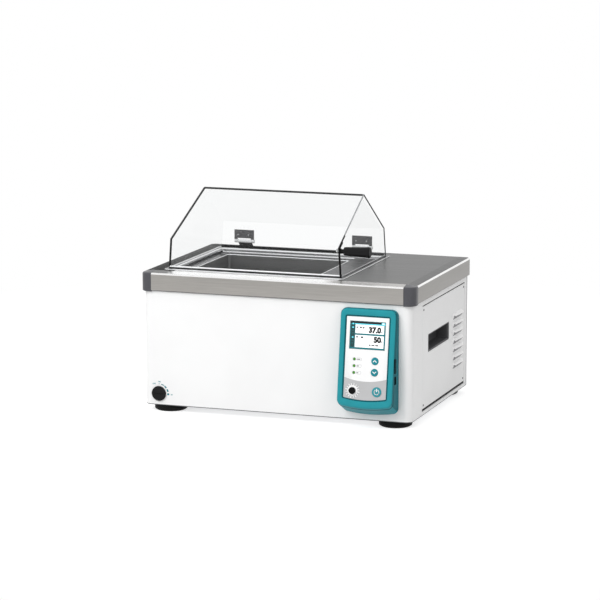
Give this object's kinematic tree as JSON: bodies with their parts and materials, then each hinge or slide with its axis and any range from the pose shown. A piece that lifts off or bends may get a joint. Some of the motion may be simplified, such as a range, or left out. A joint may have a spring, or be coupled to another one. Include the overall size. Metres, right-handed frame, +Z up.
{
  "type": "shaking water bath",
  "caption": "Bench-top water bath with a sliding shaker tray, a clear hinged gable lid, a sloped control panel and a magnetic crank drive under the tank.",
  "frame": {"origin": "middle of the bounding box, on the surface that the feet stand on", "axes": "+X to the right of someone facing the control panel, +Y to the back, +Z up"},
  "size_m": [0.53, 0.436, 0.398],
  "materials": {
    "white_powder_coat": "satin white powder coat",
    "brushed_stainless": "brushed",
    "tank_stainless": "smooth drawn",
    "tray_stainless": "smooth",
    "grey_cap_plastic": "moulded, fine grain",
    "black_plastic": "moulded satin",
    "teal_plastic": "moulded semi-gloss",
    "clear_acrylic": "clear, polished",
    "dark_hinge_steel": "dark satin",
    "bright_steel": "bright",
    "zinc_plated_steel": "zinc plated",
    "aluminium": "milled",
    "nickel_brass": "nickel plated",
    "magnet_case": "plated",
    "motor_enamel": "enamelled",
    "heating_foil": "silicone mat",
    "white_glide_plastic": "moulded",
    "display_glass": "glossy display window",
    "green_lens": "clear green lens",
    "board_laminate": "solder-masked board",
    "red_lever_plastic": "moulded"
  },
  "bodies": {
    "casing": {"base_pan": "zinc_plated_steel", "control_board": "board_laminate", "corner_cap_left": "grey_cap_plastic", "corner_cap_right": "grey_cap_plastic", "data_socket": "bright_steel", "deck_cover": "brushed_stainless", "display": "display_glass", "drain_pipe": "brushed_stainless", "drain_valve": "nickel_brass", "drive_frame": "zinc_plated_steel", "face_plate": "white_powder_coat", "fan_frame": "black_plastic", "foot_front_left": "black_plastic", "foot_front_right": "black_plastic", "foot_rear_left": "black_plastic", "foot_rear_right": "black_plastic", "front_wrap": "white_powder_coat", "gear_motor": "motor_enamel", "guide_rod_front": "bright_steel", "guide_rod_rear": "bright_steel", "hand_hold_left": "black_plastic", "hand_hold_right": "black_plastic", "heating_foil_front": "heating_foil", "heating_foil_rear": "heating_foil", "hinge_bracket_left": "dark_hinge_steel", "hinge_bracket_right": "dark_hinge_steel", "hinge_pin_left": "bright_steel", "hinge_pin_right": "bright_steel", "limit_thermostat": "black_plastic", "panel_housing": "teal_plastic", "power_inlet": "black_plastic", "power_supply": "zinc_plated_steel", "rear_panel": "white_powder_coat", "side_panel_left": "white_powder_coat", "side_panel_right": "white_powder_coat", "status_lamp_1": "green_lens", "status_lamp_2": "green_lens", "status_lamp_3": "green_lens", "tank_basin": "tank_stainless", "tank_frame": "tank_stainless", "tray_rail_front": "white_glide_plastic", "tray_rail_rear": "white_glide_plastic"},
    "lid_body": {"lid": "clear_acrylic", "lid_handle_grip": "black_plastic", "lid_handle_stud": "bright_steel", "hinge_leaf_left": "dark_hinge_steel", "hinge_leaf_right": "dark_hinge_steel"},
    "tray_body": {"shaker_tray": "tray_stainless", "tray_magnet": "magnet_case"},
    "carriage_body": {"magnet_carriage": "aluminium", "carriage_magnet": "magnet_case"},
    "crank_body": {"crank_disc": "zinc_plated_steel"},
    "rod_body": {"connecting_rod": "aluminium"},
    "fan_body": {"fan_rotor": "black_plastic"},
    "jog_body": {"jog_dial": "black_plastic"},
    "limit_body": {"limit_dial": "black_plastic"},
    "up_body": {"up_button": "teal_plastic"},
    "down_body": {"down_button": "teal_plastic"},
    "power_body": {"power_button": "teal_plastic"},
    "lever_body": {"drain_lever": "red_lever_plastic"}
  },
  "joints": [
    {"name": "lid_hinge", "type": "hinge", "parent": "casing", "child": "lid_body", "pos_m": [-0.054, 0.12475, 0.2785], "axis": [-1, 0, 0], "range_deg": [0, 95]},
    {"name": "tray_slide", "type": "slide", "parent": "casing", "child": "tray_body", "axis": [1, 0, 0], "range_m": [-0.0125, 0.0125]},
    {"name": "carriage_slide", "type": "slide", "parent": "casing", "child": "carriage_body", "axis": [1, 0, 0], "range_m": [-0.0125, 0.0125]},
    {"name": "crank_turn", "type": "hinge", "parent": "casing", "child": "crank_body", "pos_m": [0.02152, -0.01355, 0.0575], "axis": [0, 0, 1], "continuous": true},
    {"name": "rod_swing", "type": "hinge", "parent": "crank_body", "child": "rod_body", "pos_m": [0.02152, -0.00105, 0.0658], "axis": [0, 0, 1], "continuous": true},
    {"name": "fan_spin", "type": "hinge", "parent": "casing", "child": "fan_body", "pos_m": [0.1969, 0.16475, 0.162], "axis": [0, 1, 0], "continuous": true},
    {"name": "jog_turn", "type": "hinge", "parent": "casing", "child": "jog_body", "pos_m": [0.1575, -0.21192, 0.07274], "axis": [0, -0.989, 0.1478], "continuous": true},
    {"name": "limit_turn", "type": "hinge", "parent": "casing", "child": "limit_body", "pos_m": [-0.2312, -0.17965, 0.034], "axis": [0, -1, 0], "range_deg": [-135, 135]},
    {"name": "up_press", "type": "slide", "parent": "casing", "child": "up_body", "axis": [0, 0.989, -0.1478], "range_m": [0, 0.0008], "stiffness_N_per_m": 400},
    {"name": "down_press", "type": "slide", "parent": "casing", "child": "down_body", "axis": [0, 0.989, -0.1478], "range_m": [0, 0.0008], "stiffness_N_per_m": 400},
    {"name": "power_press", "type": "slide", "parent": "casing", "child": "power_body", "axis": [0, 0.989, -0.1478], "range_m": [0, 0.0008], "stiffness_N_per_m": 400},
    {"name": "lever_turn", "type": "hinge", "parent": "casing", "child": "lever_body", "pos_m": [-0.168, 0.18955, 0.0926], "axis": [0, 0, 1], "range_deg": [0, 90]}
  ],
  "couplings": [
    {"joint": "carriage_slide", "follows": "tray_slide", "ratio": 1},
    {"joint": "rod_swing", "follows": "crank_turn", "ratio": -1}
  ]
}
